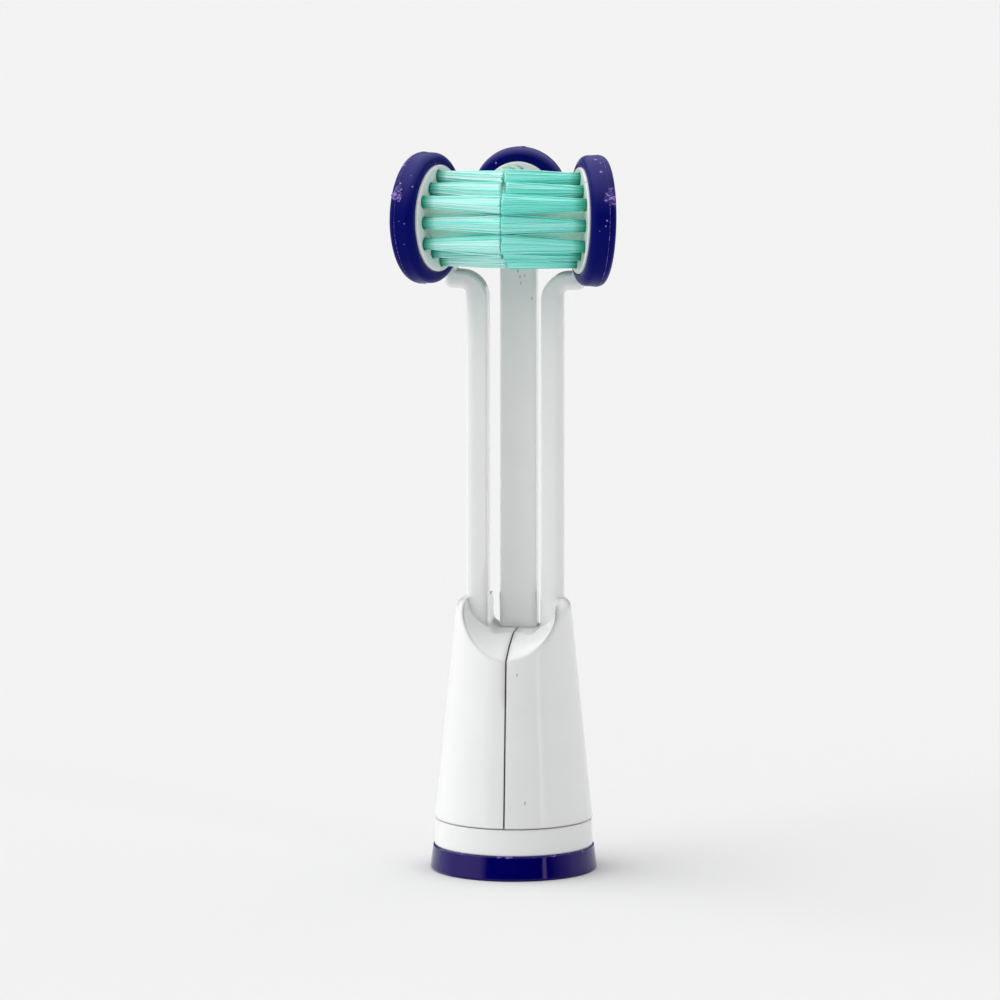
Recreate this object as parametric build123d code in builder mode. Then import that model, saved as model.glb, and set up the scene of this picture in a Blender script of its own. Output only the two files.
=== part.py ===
from build123d import *
import os
from math import cos, radians, sin, sqrt, tan

# Three-headed brush head for an electric toothbrush, in millimetres.
# The origin is the centre of the base, +Z runs up the body and the bristles of the rear head point to -Y.

# Colour ring and collar
base_radius = 10.87
ring_height = 3.3
ring_draft = 7.0
ring_wall = 1.25
ring_step = 0.15
ring_fit = 0.05
ring_round = 0.3
seat_wall = 1.0
seat_lift = 0.4
bead_height = 0.2
bead_half_width = 0.45
collar_height = 3.55
collar_draft = 2.2
joint_gap = 0.15
joint_depth = 0.6

# Body made of two half shells
shell_step = 0.09
shell_height = 28.65
shell_taper = 5.68
shell_wall = 1.5
shell_fit = 0.05
shoulder_round = 1.2
seam_gap = 0.12
crown_thickness = 4.4
spigot_rise = 3.0
spigot_wall = 1.2
pin_radius = 0.6
pin_length = 2.0
pin_wall = 1.0

# Drive socket for the handle's shaft
recess_depth = 6.0
floor_thickness = 1.4
socket_radius = 2.0
socket_wall = 1.5
socket_depth = 18.0
socket_cap = 1.5
clip_land = 3.0
clip_height = 2.5
clip_thickness = 0.35
clip_play = 0.06
clip_opening = 1.6

# Arms, their notch and the scoop in front of them
arm_gap = 7.0
arm_width = 2.9
arm_depth = 3.2
arm_round = 1.2
arm_edge = 0.3
arm_reach = 42.8
notch_depth = 4.5
notch_round = 1.5
scoop_inset = 0.4
scoop_drop = 2.8
scoop_belly = 0.4
scoop_bowl = 4.2
scoop_margin = 1.0
elbow_radius = 3.6
elbow_inner = 0.7
beam_thickness = 2.3
beam_run = 0.56
post_width = 1.5
post_round = 0.9
post_set_in = 0.1
post_cover = 0.6
post_drop = 1.5

# Rear neck and the strip that carries it down the back of the body
neck_width = 4.8
neck_depth = 2.5
neck_gap = 1.2
neck_edge = 0.3
neck_root = 2.0
spine_wall = 2.4
rib_width = 1.6
rib_overlap = 0.5

# Heads: a white plate with tuft holes inside a soft rim
head_splay = 18.3
head_lean = 2.4
head_rise = 7.73
head_thickness = 3.3
plate_radius = 6.9
plate_proud = 0.25
plate_chamfer = 0.12
rear_plate_radius = 4.52
rear_head_rise = 1.64
rim_width = 1.62
rim_front_round = 1.0
rim_back_round = 0.9
rim_inner_chamfer = 0.15
rim_draft = 0.1
rim_mould_line = 1.0
rim_notch_play = 0.06
flange_height = 0.6
flange_thickness = 1.0
flange_depth = 1.2
soft_fit = 0.03

# Tufts and the anchors that they are folded round
tuft_radius = 0.775
tuft_margin = 0.64
tuft_fit = 0.03
tuft_hole_depth = 2.4
tip_gap = 0.2
tip_clearance = 0.25
anchor_thickness = 0.25
anchor_height = 1.2
anchor_lift = 0.45
anchor_play = 0.02

# Sides, and rings of tufts round the middle one
LEFT = -1
RIGHT = 1
SIDES = {"left": LEFT, "right": RIGHT}
SIDE_RINGS = 2
REAR_RINGS = 1

# Heights of the body
collar_top = ring_height + collar_height
shell_top = collar_top + shell_height
notch_floor = shell_top - notch_depth
cavity_top = notch_floor - crown_thickness
floor_top = recess_depth + floor_thickness
bore_top = recess_depth + socket_depth
clip_bottom = bore_top - clip_land - clip_height
socket_top = bore_top + socket_cap

# Radii of the body, each worked out from the one below it
ring_top_radius = base_radius - ring_height * tan(radians(ring_draft))
seat_radius = ring_top_radius - ring_wall
recess_radius = seat_radius - seat_wall
collar_radius = ring_top_radius - ring_step
collar_top_radius = collar_radius - collar_height * tan(radians(collar_draft))
shell_radius = collar_top_radius + shell_step
socket_outer = socket_radius + socket_wall
pin_reach = socket_outer + shell_fit + pin_wall + pin_radius


def shell_radius_at(height):
    """Outer radius of the tapered body at a height above the base."""
    return shell_radius - (height - collar_top) * tan(radians(shell_taper))


# Arms and neck
arm_inner = arm_gap / 2
arm_outer = arm_inner + arm_width
elbow_top = shell_top + arm_reach
beam_bottom = elbow_top - beam_thickness
post_inner = arm_inner + elbow_radius + beam_run
post_outer = post_inner + post_width
post_middle = post_inner + post_width / 2
neck_front = arm_depth + neck_gap

# Heads: each side head hangs on its post, just inside the edge of its plate
head_height = elbow_top + head_rise
rear_head_height = head_height + rear_head_rise
post_offset = plate_radius - post_set_in
splay_sine = sin(radians(head_splay))
splay_cosine = cos(radians(head_splay))
lean_sine = sin(radians(head_lean))
lean_cosine = cos(radians(head_lean))
head_spread = post_inner - post_cover / splay_cosine + post_offset * splay_sine
head_forward = arm_depth / 2 - post_offset * splay_cosine
post_top = head_height - post_drop
rear_face = neck_front + plate_proud
tuft_hole_radius = tuft_radius + tuft_fit
tuft_pitch = (plate_radius - tuft_margin - tuft_radius) / SIDE_RINGS
rear_tuft_pitch = (rear_plate_radius - tuft_margin - tuft_radius) / REAR_RINGS

# The rear tufts stop just behind the rearmost bristles of the side heads
rear_edge = SIDE_RINGS * tuft_pitch * sqrt(3) / 2 + tuft_radius
rear_edge_spread = head_spread - rear_edge * splay_sine
rear_edge_forward = head_forward + rear_edge * splay_cosine
rear_tuft_reach = rear_tuft_pitch * sqrt(3) / 2 + tuft_radius
rear_edge_run = (rear_edge_spread - rear_tuft_reach) * splay_sine / splay_cosine
rear_tip = rear_edge_forward - rear_edge_run + tip_clearance
rear_tuft_length = neck_front - rear_tip + tuft_hole_depth - tuft_fit

REAR_PLANE = Plane(origin=(0, rear_face, rear_head_height), x_dir=(0, 0, 1), z_dir=(0, -1, 0))


def head_plane(side):
    """Plane of a side head's rim face: its normal points along the bristles, its x direction up."""
    return Plane(
        origin=(side * head_spread, head_forward, head_height),
        x_dir=(side * splay_cosine * lean_sine, splay_sine * lean_sine, lean_cosine),
        z_dir=(-side * splay_cosine * lean_cosine, -splay_sine * lean_cosine, lean_sine),
    )


def hexagon_points(rings, pitch):
    """Points of a hexagonal pattern with so many rings round its middle, rows along the first axis."""
    steps = range(-rings, rings + 1)
    return [
        (pitch * (along + across / 2), pitch * across * sqrt(3) / 2)
        for across in steps
        for along in steps
        if abs(along + across) <= rings
    ]


def tuft_frames(plane, points):
    """Frames of a head's tufts on the face of its plate, with their normals along the bristles."""
    face = plane.offset(plate_proud)
    return [
        Plane(origin=face.from_local_coords(point), x_dir=face.x_dir, z_dir=face.z_dir)
        for point in points
    ]


def side_tufts(side):
    """Tuft frames of a side head, in columns from the front."""
    points = hexagon_points(SIDE_RINGS, tuft_pitch)
    return tuft_frames(head_plane(side), [(up, side * across) for up, across in points])


def rear_tufts():
    """Tuft frames of the rear head, in columns from the right."""
    return tuft_frames(REAR_PLANE, hexagon_points(REAR_RINGS, rear_tuft_pitch))


# Solid body cone with a rounded top, which the half shells and the rear strip are cut from
with BuildPart() as body_cone:
    with BuildSketch(Plane.XZ):
        with BuildLine():
            Polyline(
                (0, collar_top - joint_gap),
                (shell_radius_at(collar_top - joint_gap), collar_top - joint_gap),
                (shell_radius_at(shell_top), shell_top),
                (0, shell_top),
                close=True,
            )
        make_face()
    revolve(axis=Axis.Z)
    fillet(body_cone.edges().filter_by(GeomType.CIRCLE).sort_by(Axis.Z)[-1], shoulder_round)

# Hollow inside of the half shells, below their solid crown
with BuildPart() as body_cavity:
    with BuildSketch(Plane.XZ):
        with BuildLine():
            Polyline(
                (0, collar_top - joint_gap),
                (shell_radius_at(collar_top - joint_gap) - shell_wall, collar_top - joint_gap),
                (shell_radius_at(cavity_top) - shell_wall, cavity_top),
                (0, cavity_top),
                close=True,
            )
        make_face()
    revolve(axis=Axis.Z)

# Scoop in front of the arms: a round-bottomed channel that deepens towards the front
scoop_half_width = arm_outer - scoop_inset
scoop_front = shell_radius_at(notch_floor) + scoop_margin
scoop_top = shell_top + scoop_bowl
scoop_sections = [
    (0.0, notch_depth),
    (scoop_front / 2, notch_depth + scoop_drop / 2 - scoop_belly),
    (scoop_front, notch_depth + scoop_drop),
]
with BuildPart() as scoop:
    for forward, depth in scoop_sections:
        bowl_level = scoop_top - depth
        with BuildSketch(Plane.XZ.offset(forward)):
            with BuildLine():
                EllipticalCenterArc((0, bowl_level), scoop_half_width, scoop_bowl, 180, arc_size=180)
                Polyline(
                    (scoop_half_width, bowl_level),
                    (scoop_half_width, scoop_top),
                    (-scoop_half_width, scoop_top),
                    (-scoop_half_width, bowl_level),
                )
            make_face()
    loft()


def plate_disc(plane, radius):
    """White plate of a head: a disc with a chamfered face and a flange that the soft rim grips."""
    with BuildPart() as disc:
        with BuildSketch(plane.offset(-head_thickness)):
            Circle(radius)
        extrude(amount=head_thickness + plate_proud)
        face_centre = plane.offset(plate_proud).origin
        chamfer(disc.edges().filter_by(GeomType.CIRCLE).sort_by_distance(face_centre)[0], plate_chamfer)
        with BuildSketch(plane.offset(-flange_depth - flange_thickness)):
            Circle(radius + flange_height)
        extrude(amount=flange_thickness)
    return disc.part


def tuft_holes(frames):
    """Blind holes of a plate, one for each tuft."""
    with BuildPart() as holes:
        for frame in frames:
            with BuildSketch(frame.offset(-tuft_hole_depth)):
                Circle(tuft_hole_radius)
            extrude(amount=tuft_hole_depth)
    return holes.part


def arm(side):
    """One arm: up from the body, round the elbow to the outside and up the post into the head plate."""
    outline = [
        (arm_inner, cavity_top),
        (arm_inner, elbow_top),
        (post_inner, elbow_top),
        (post_inner, post_top),
        (post_outer, post_top),
        (post_outer, beam_bottom),
        (arm_outer, beam_bottom),
        (arm_outer, cavity_top),
    ]
    corner_radii = [0, elbow_radius, arm_edge, 0, 0, post_round, elbow_inner, 0]
    with BuildPart() as limb:
        with BuildSketch(Plane.XZ):
            with BuildLine():
                FilletPolyline(*[(side * x, z) for x, z in outline], radius=corner_radii, close=True)
            make_face()
        extrude(amount=-arm_depth)
        rims = limb.faces().filter_by(Axis.Y).edges()

        def on_outside(edge):
            middle = edge.center()
            below_elbow = middle.Z < elbow_top - beam_thickness / 2
            past_arm = side * middle.X > arm_inner + arm_width / 2
            return side * middle.X > post_middle or (below_elbow and past_arm)

        def on_inside(edge):
            middle = edge.center()
            return side * middle.X < arm_inner + elbow_radius / 2 and middle.Z > cavity_top

        sides = rims.filter_by(lambda edge: edge.center().Z < post_top and edge.center().Z > cavity_top)
        outer_edges = sides.filter_by(on_outside)
        inner_edges = sides.filter_by(on_inside).filter_by(lambda edge: not on_outside(edge))
        fillet(outer_edges, arm_round)
        fillet(inner_edges, arm_edge)
    return limb.part


def half_body(side):
    """Half shell with its arm and head plate, cut at the seam and round the rear strip."""
    plane = head_plane(side)
    with BuildPart() as half:
        add(body_cone.part)
        with BuildSketch(Plane.XY.offset(collar_top - joint_gap)):
            Circle(shell_radius_at(collar_top - joint_gap))
        extrude(amount=joint_gap, mode=Mode.SUBTRACT)
        add(body_cavity.part, mode=Mode.SUBTRACT)
        add(scoop.part, mode=Mode.SUBTRACT)
        with BuildSketch(Plane.XZ):
            with Locations((0, notch_floor)):
                notch = Rectangle(arm_gap, shell_height, align=(Align.CENTER, Align.MIN))
            fillet(notch.vertices().group_by(Axis.Y)[0], notch_round)
        extrude(amount=base_radius, both=True, mode=Mode.SUBTRACT)
        with BuildSketch(Plane.XY.offset(collar_top)):
            Circle(socket_outer + shell_fit)
        extrude(amount=socket_top + shell_fit - collar_top, mode=Mode.SUBTRACT)
        with BuildSketch(Plane.XY.offset(collar_top)):
            with Locations((0, neck_front - shell_fit)):
                Rectangle(neck_width + 2 * shell_fit, base_radius, align=(Align.CENTER, Align.MIN))
        extrude(amount=shell_height, mode=Mode.SUBTRACT)
        keep = Keep.TOP if side == RIGHT else Keep.BOTTOM
        split(bisect_by=Plane.YZ.offset(side * seam_gap / 2), keep=keep)
        add(arm(side))
        add(plate_disc(plane, plate_radius))
        add(tuft_holes(side_tufts(side)), mode=Mode.SUBTRACT)
        pin_grow = 0 if side == LEFT else shell_fit
        with BuildSketch(Plane.YZ.offset(-pin_length)):
            with Locations((-pin_reach, cavity_top + pin_wall + pin_radius)):
                Circle(pin_radius + pin_grow)
        pin_mode = Mode.ADD if side == LEFT else Mode.SUBTRACT
        extrude(amount=2 * pin_length + pin_grow, mode=pin_mode)
    return half.part


def bumper(plane, radius):
    """Soft rim of a head: a ring with a groove for the plate's flange and a mould line outside."""
    inner = radius + soft_fit
    outer = radius + rim_width
    groove = radius + flange_height + soft_fit
    groove_top = -flange_depth + soft_fit
    groove_bottom = -flange_depth - flange_thickness - soft_fit
    profile = [
        (inner + rim_inner_chamfer, 0),
        (outer - rim_draft, 0),
        (outer, rim_mould_line - head_thickness),
        (outer - rim_draft, -head_thickness),
        (inner, -head_thickness),
        (inner, groove_bottom),
        (groove, groove_bottom),
        (groove, groove_top),
        (inner, groove_top),
        (inner, -rim_inner_chamfer),
    ]
    rounds = [0, rim_front_round, 0, rim_back_round, 0, 0, 0, 0, 0, 0]
    section = Plane(origin=plane.origin, x_dir=plane.x_dir, z_dir=plane.x_dir.cross(plane.z_dir))
    with BuildPart() as rim:
        with BuildSketch(section):
            with BuildLine():
                FilletPolyline(*profile, radius=rounds, close=True)
            make_face()
        revolve(axis=Axis(plane.origin, plane.z_dir))
    return rim.part


def tuft(frame, length):
    """One bundle of bristles from the bottom of its hole, with a window for the anchor in its fold."""
    root = frame.offset(tuft_fit - tuft_hole_depth)
    with BuildPart() as bundle:
        with BuildSketch(root):
            Circle(tuft_radius)
        extrude(amount=length)
        with BuildSketch(root.offset(anchor_lift)):
            Rectangle(anchor_thickness + 2 * anchor_play, 2 * tuft_hole_radius)
        extrude(amount=anchor_height + 2 * anchor_play, mode=Mode.SUBTRACT)
    return bundle.part


def anchors(frames):
    """Metal strips across the tuft holes of one head."""
    with BuildPart() as strips:
        for frame in frames:
            with BuildSketch(frame.offset(tuft_fit - tuft_hole_depth + anchor_lift + anchor_play)):
                Rectangle(anchor_thickness, 2 * tuft_radius)
            extrude(amount=anchor_height)
    return strips.part


os.makedirs("parts", exist_ok=True)


def write(part, name):
    """Label a finished piece and write it to its own file."""
    part.label = name
    export_step(part, f"parts/{name}.step")


# Colour ring: a tapered ring that snaps over the bead of the collar's seat
ring_bore = seat_radius + ring_fit
bead_level = ring_height / 2
with BuildPart() as colour_ring:
    with BuildSketch(Plane.XZ):
        with BuildLine():
            FilletPolyline(
                (ring_bore, 0),
                (base_radius, 0),
                (ring_top_radius, ring_height),
                (ring_bore, ring_height),
                (ring_bore, bead_level + bead_half_width),
                (ring_bore + bead_height, bead_level),
                (ring_bore, bead_level - bead_half_width),
                radius=[0, ring_round, ring_round, 0, 0, 0, 0],
                close=True,
            )
        make_face()
    revolve(axis=Axis.Z)
write(colour_ring.part, "colour_ring")

# Collar with the ring's seat, the spigot for the shells and the drive socket
spigot_base = shell_radius_at(collar_top) - shell_wall - shell_fit
spigot_top = collar_top + spigot_rise
spigot_tip = shell_radius_at(spigot_top) - shell_wall - shell_fit
with BuildPart() as collar:
    with BuildSketch(Plane.XZ):
        with BuildLine():
            Polyline(
                (recess_radius, seat_lift),
                (seat_radius, seat_lift),
                (seat_radius, bead_level - bead_half_width),
                (seat_radius + bead_height, bead_level),
                (seat_radius, bead_level + bead_half_width),
                (seat_radius, ring_height),
                (collar_radius, ring_height),
                (collar_top_radius, collar_top - joint_gap),
                (collar_top_radius - joint_depth, collar_top - joint_gap),
                (collar_top_radius - joint_depth, collar_top),
                (spigot_base, collar_top),
                (spigot_tip, spigot_top),
                (spigot_tip - spigot_wall, spigot_top),
                (spigot_tip - spigot_wall, floor_top),
                (socket_outer, floor_top),
                (socket_outer, socket_top),
                (0, socket_top),
                (0, recess_depth),
                (recess_radius, recess_depth),
                close=True,
            )
        make_face()
    revolve(axis=Axis.Z)
    with BuildSketch(Plane.XY.offset(recess_depth)):
        Circle(socket_radius)
    extrude(amount=socket_depth, mode=Mode.SUBTRACT)
    with BuildSketch(Plane.XY.offset(clip_bottom)):
        Circle(socket_radius + clip_thickness + 2 * clip_play)
    extrude(amount=clip_height, mode=Mode.SUBTRACT)
write(collar.part, "collar_with_socket")

# Rear neck: a strip flush with the shells, a rib to the socket, the neck and the rear head's plate
rib_bottom = spigot_top + shell_fit
rib_top = cavity_top - rib_overlap
with BuildPart() as rear_neck:
    add(body_cone.part)
    with BuildSketch(Plane.XZ):
        with BuildLine():
            Polyline(
                (0, collar_top - joint_gap),
                (shell_radius_at(collar_top - joint_gap) - shell_wall, collar_top - joint_gap),
                (shell_radius_at(rib_bottom) - shell_wall, rib_bottom),
                (shell_radius_at(rib_bottom) - spine_wall, rib_bottom),
                (shell_radius_at(shell_top) - spine_wall, shell_top),
                (0, shell_top),
                close=True,
            )
        make_face()
    revolve(axis=Axis.Z, mode=Mode.SUBTRACT)
    with BuildSketch(Plane.XY.offset(collar_top)):
        Rectangle(neck_width, base_radius, align=(Align.CENTER, Align.MIN))
    extrude(amount=shell_height, mode=Mode.INTERSECT)
    with BuildSketch(Plane.YZ):
        with BuildLine():
            Polyline(
                (socket_outer + shell_fit, rib_bottom),
                (shell_radius_at(rib_bottom) - spine_wall + rib_overlap, rib_bottom),
                (shell_radius_at(rib_top) - spine_wall + rib_overlap, rib_top),
                (socket_outer + shell_fit, rib_top),
                close=True,
            )
        make_face()
    extrude(amount=rib_width / 2, both=True)
    with BuildSketch(Plane.XY.offset(cavity_top - neck_root)):
        with Locations((0, neck_front)):
            RectangleRounded(neck_width, neck_depth, neck_edge, align=(Align.CENTER, Align.MIN))
    extrude(amount=rear_head_height - cavity_top + neck_root)
    add(plate_disc(REAR_PLANE, rear_plate_radius))
    add(tuft_holes(rear_tufts()), mode=Mode.SUBTRACT)
write(rear_neck.part, "rear_neck")

# Shaft clip: an open ring of spring steel in the socket's groove
with BuildPart() as shaft_clip:
    with BuildSketch(Plane.XY.offset(clip_bottom + clip_play)):
        Circle(socket_radius + clip_play + clip_thickness)
        Circle(socket_radius + clip_play, mode=Mode.SUBTRACT)
        Rectangle(2 * base_radius, clip_opening, align=(Align.MIN, Align.CENTER), mode=Mode.SUBTRACT)
    extrude(amount=clip_height - 2 * clip_play)
write(shaft_clip.part, "shaft_clip")

# Left and right halves with their soft rims, tufts and anchors
for name, side in SIDES.items():
    plane = head_plane(side)
    write(half_body(side), f"{name}_half_body")

    with BuildPart() as side_bumper:
        add(bumper(plane, plate_radius))
        with BuildSketch(Plane.XY.offset(beam_bottom - rim_notch_play)):
            with Locations((side * (post_outer + rim_notch_play), -rim_notch_play)):
                edge = Align.MAX if side == RIGHT else Align.MIN
                Rectangle(post_outer, arm_depth + 2 * rim_notch_play, align=(edge, Align.MIN))
        extrude(amount=post_top - beam_bottom + 2 * rim_notch_play, mode=Mode.SUBTRACT)
    write(side_bumper.part, f"{name}_bumper")

    for number, frame in enumerate(side_tufts(side), start=1):
        with BuildPart() as side_tuft:
            add(tuft(frame, 2 * head_spread))
            keep = Keep.TOP if side == RIGHT else Keep.BOTTOM
            split(bisect_by=Plane.YZ.offset(side * tip_gap / 2), keep=keep)
        write(side_tuft.part, f"{name}_tuft_{number:02d}")
    write(anchors(side_tufts(side)), f"{name}_anchors")

# Rear head's soft rim, tufts and anchors
with BuildPart() as rear_bumper:
    add(bumper(REAR_PLANE, rear_plate_radius))
    with BuildSketch(Plane.XY.offset(shell_top)):
        with Locations((0, neck_front - rim_notch_play)):
            Rectangle(
                neck_width + 2 * rim_notch_play,
                neck_depth + 2 * rim_notch_play,
                align=(Align.CENTER, Align.MIN),
            )
    extrude(amount=rear_head_height - shell_top, mode=Mode.SUBTRACT)
write(rear_bumper.part, "rear_bumper")

for number, frame in enumerate(rear_tufts(), start=1):
    write(tuft(frame, rear_tuft_length), f"rear_tuft_{number}")
write(anchors(rear_tufts()), "rear_anchors")
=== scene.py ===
import math

import bpy
import numpy as np
from bpy.props import FloatProperty, FloatVectorProperty, IntProperty, PointerProperty
from mathutils import Matrix, Vector


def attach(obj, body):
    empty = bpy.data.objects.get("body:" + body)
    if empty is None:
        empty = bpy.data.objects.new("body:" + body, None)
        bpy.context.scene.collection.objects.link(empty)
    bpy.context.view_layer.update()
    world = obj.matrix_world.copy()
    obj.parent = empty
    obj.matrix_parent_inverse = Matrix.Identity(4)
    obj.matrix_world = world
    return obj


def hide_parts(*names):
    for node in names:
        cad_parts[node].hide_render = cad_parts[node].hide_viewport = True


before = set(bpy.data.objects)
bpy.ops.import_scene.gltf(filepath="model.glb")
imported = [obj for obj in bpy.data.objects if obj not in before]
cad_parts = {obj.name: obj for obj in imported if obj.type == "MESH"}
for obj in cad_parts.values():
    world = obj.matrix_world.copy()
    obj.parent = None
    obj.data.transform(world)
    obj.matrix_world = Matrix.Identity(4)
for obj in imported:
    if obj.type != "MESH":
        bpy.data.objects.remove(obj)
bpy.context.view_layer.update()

bl_info = {
    "name": "Three-headed brush head",
    "version": (1, 0, 0),
    "blender": (4, 5, 0),
    "location": "3D View > Sidebar > Brush Head",
    "description": "Finishes and bristles of a three-headed brush head for an electric toothbrush",
    "category": "Object",
}

MM = 0.001
SIDES = {"left": -1, "right": 1}
SIDE_TUFTS = 19
REAR_TUFTS = 7
GOLDEN_ANGLE = math.pi * (3 - math.sqrt(5))
SCUFF_HEIGHT = 3.0 * MM
SHELL_BOTTOM = 6.87 * MM
NECK_FRONT = 4.3 * MM

# Half width of the painted shade along the seam line and where it has faded out, and how soft the edges look
# round the scoop
SEAM_HALF_WIDTH = 0.06 * MM
SEAM_FADE = 0.14 * MM
SCOOP_MIDDLE = (0.0, -4.0 * MM, 31.5 * MM)
SOFT_REACH = 9.0 * MM
SOFT_FADE = 10.5 * MM
SOFT_EDGE = 1.5 * MM
PLAIN_EDGE = 0.4 * MM

# Small marks on the white plastic: place and radius in millimetres, each nearly four times as tall as wide
MARKS = (
    ((1.46, -8.16, 26.8), 0.07),
    ((2.68, -9.57, 10.2), 0.08),
    ((1.83, 4.4, 74.3), 0.07),
    ((-0.92, 4.4, 78.9), 0.07),
    ((-0.53, 4.4, 78.5), 0.06),
    ((0.0, 4.4, 77.9), 0.08),
    ((0.26, 4.4, 77.1), 0.07),
    ((0.39, 4.4, 76.3), 0.07),
    ((0.9, 4.4, 77.3), 0.06),
)
MARK_SQUEEZE = 0.28

# Steps along a bristle line, from root to tip, and the girth of a filament there
LINE_SHARES = (0.0, 0.08, 0.2, 0.36, 0.54, 0.74, 0.9, 0.98, 1.0)
LINE_GIRTHS = (1.0, 1.0, 1.0, 1.0, 1.0, 1.0, 1.0, 0.95, 0.45)
FAN_POWER = 0.95
FILAMENT_SIDES = 5
STRAY_SHARE = 0.05
STRAY_FACTOR = 2.4
CORE_SIDES = 60
CORE_SHARE = 0.93
CORE_SHORT = 0.03
ROOT_BLUR = 0.35

# Tips of the tufts: gap to the middle plane, scatter, tufts that stop short of it, tufts that lean
TIP_GAP = 0.01
TIP_SCATTER = 0.2
SHORT_GAP = 0.32
SHORT_TUFTS = ("left_tuft_04", "left_tuft_07", "left_tuft_12", "right_tuft_07", "right_tuft_08")
LEANING_TUFTS = {"rear_tuft_5": (0.0, 0.7)}

# How far each head's dyed and undyed tufts fan out, how pale its palest filament is, and the painted glow
# that stands for light led in by undyed filaments
FANS = {
    "left": {"green_nylon": 1.0, "natural_nylon": 1.5},
    "right": {"green_nylon": 1.12, "natural_nylon": 1.5},
    "rear": {"natural_nylon": 1.5},
}
# Painted light: each head's filaments are painted paler or deeper by how the light falls on them, palest on
# the left head, which faces the light
PAINTED_PALENESS = {"left": 1.0, "right": 0.55, "rear": 0.3}
UNDYED_GLOW = 0.16
TUFT_SEED = 7

# Torn gates and nubs on the soft rims: rim, angle from the front upwards, depth behind the face, half length
# round the rim, half width and height, all in degrees and millimetres
SCARS = (
    ("left", 29.5, 2.15, 1.2, 0.72, 0.15),
    ("right", 29.5, 2.45, 1.3, 0.7, 0.15),
    ("left", -88.0, 2.3, 0.35, 0.25, 0.12),
    ("right", -91.0, 2.3, 0.4, 0.25, 0.12),
    ("rear", 87.0, 2.3, 0.4, 0.25, 0.12),
)
SCAR_RINGS = 11
SCAR_SIDES = 24
SCAR_SEED = 5

# Mould line of each rim, a thin ridge that stops at the notch for the arm or the neck
LINE_DEPTH = 2.3
LINE_RADIUS = 0.035
LINE_STEPS = 120
LINE_SIDES = 8
LINE_ENDS = {"left": (-122.0, 186.0), "right": (-122.0, 186.0), "rear": (-60.0, 240.0)}

# Lamps in the studio: bearing from the front to the right, half width and blur of the edges, in degrees
SOFTBOX = (-83, 47, 8)
STRIP = (51, 2.5, 1.5)
FILL = (115, 45, 15)

# Heights on the unit sphere of the room: where the ceiling starts and is full, where the lamps fade and end
CEILING_START = 0.14
CEILING_FULL = 0.55
LAMP_FADE = 0.75
LAMP_END = 0.95


def linear(hex_colour):
    """Linear RGB of an sRGB hex colour."""
    srgb = np.array([int(hex_colour[i:i + 2], 16) for i in (1, 3, 5)]) / 255
    return tuple(np.where(srgb <= 0.04045, srgb / 12.92, ((srgb + 0.055) / 1.055) ** 2.4).tolist())


def rgba(colour):
    """A colour property with full alpha, as shader sockets take it."""
    return (*colour, 1.0)


def per_mm(size):
    """Texture scale at which one cell of a pattern on Object coordinates is that many millimetres wide."""
    return 1 / (size * MM)


# Settings that a user would change

class BrushHeadSizes(bpy.types.PropertyGroup):
    """Sizes of the bristles and of the marks that moulding left on the soft rims."""

    head_splay: FloatProperty(
        name="Head splay",
        description="Angle by which each side head faces forward",
        default=math.radians(18.3),
        subtype="ANGLE",
    )
    head_lean: FloatProperty(
        name="Head lean",
        description="Angle by which the bristles of a side head rise towards the middle",
        default=math.radians(2.4),
        subtype="ANGLE",
    )
    filament_count: IntProperty(
        name="Filaments",
        description="Filaments in one tuft",
        default=64,
        min=1,
    )
    filament_radius: FloatProperty(
        name="Filament radius",
        description="Radius of one bristle filament",
        default=0.08 * MM,
        unit="LENGTH",
        precision=6,
    )
    root_radius: FloatProperty(
        name="Tuft root radius",
        description="Radius within which the filaments leave the plate",
        default=0.69 * MM,
        unit="LENGTH",
        precision=6,
    )
    tip_radius: FloatProperty(
        name="Tuft tip radius",
        description="Radius to which the filaments fan out at their tips",
        default=1.34 * MM,
        unit="LENGTH",
        precision=6,
    )
    tip_scatter: FloatProperty(
        name="Tip scatter",
        description="How far a tip strays from its place in the fan",
        default=0.14 * MM,
        unit="LENGTH",
        precision=6,
    )
    tip_pull: FloatProperty(
        name="Tip pull",
        description="Share of its way to the middle of the head that a tuft leans in at its tips",
        default=0.08,
    )
    wave: FloatProperty(
        name="Filament wave",
        description="Height of the slight waves along a filament",
        default=0.05 * MM,
        unit="LENGTH",
        precision=6,
    )
    root_above_bottom: FloatProperty(
        name="Root above hole bottom",
        description="Where the filaments start, just above the metal anchor in the hole",
        default=1.75 * MM,
        unit="LENGTH",
        precision=6,
    )
    # Painted shade at the roots: how far each filament is darkened from its start in the hole
    root_shade_length: FloatProperty(
        name="Dark root",
        description="Length of each filament, from its start in the hole, that looks dark",
        default=1.35 * MM,
        unit="LENGTH",
        precision=6,
    )


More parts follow.
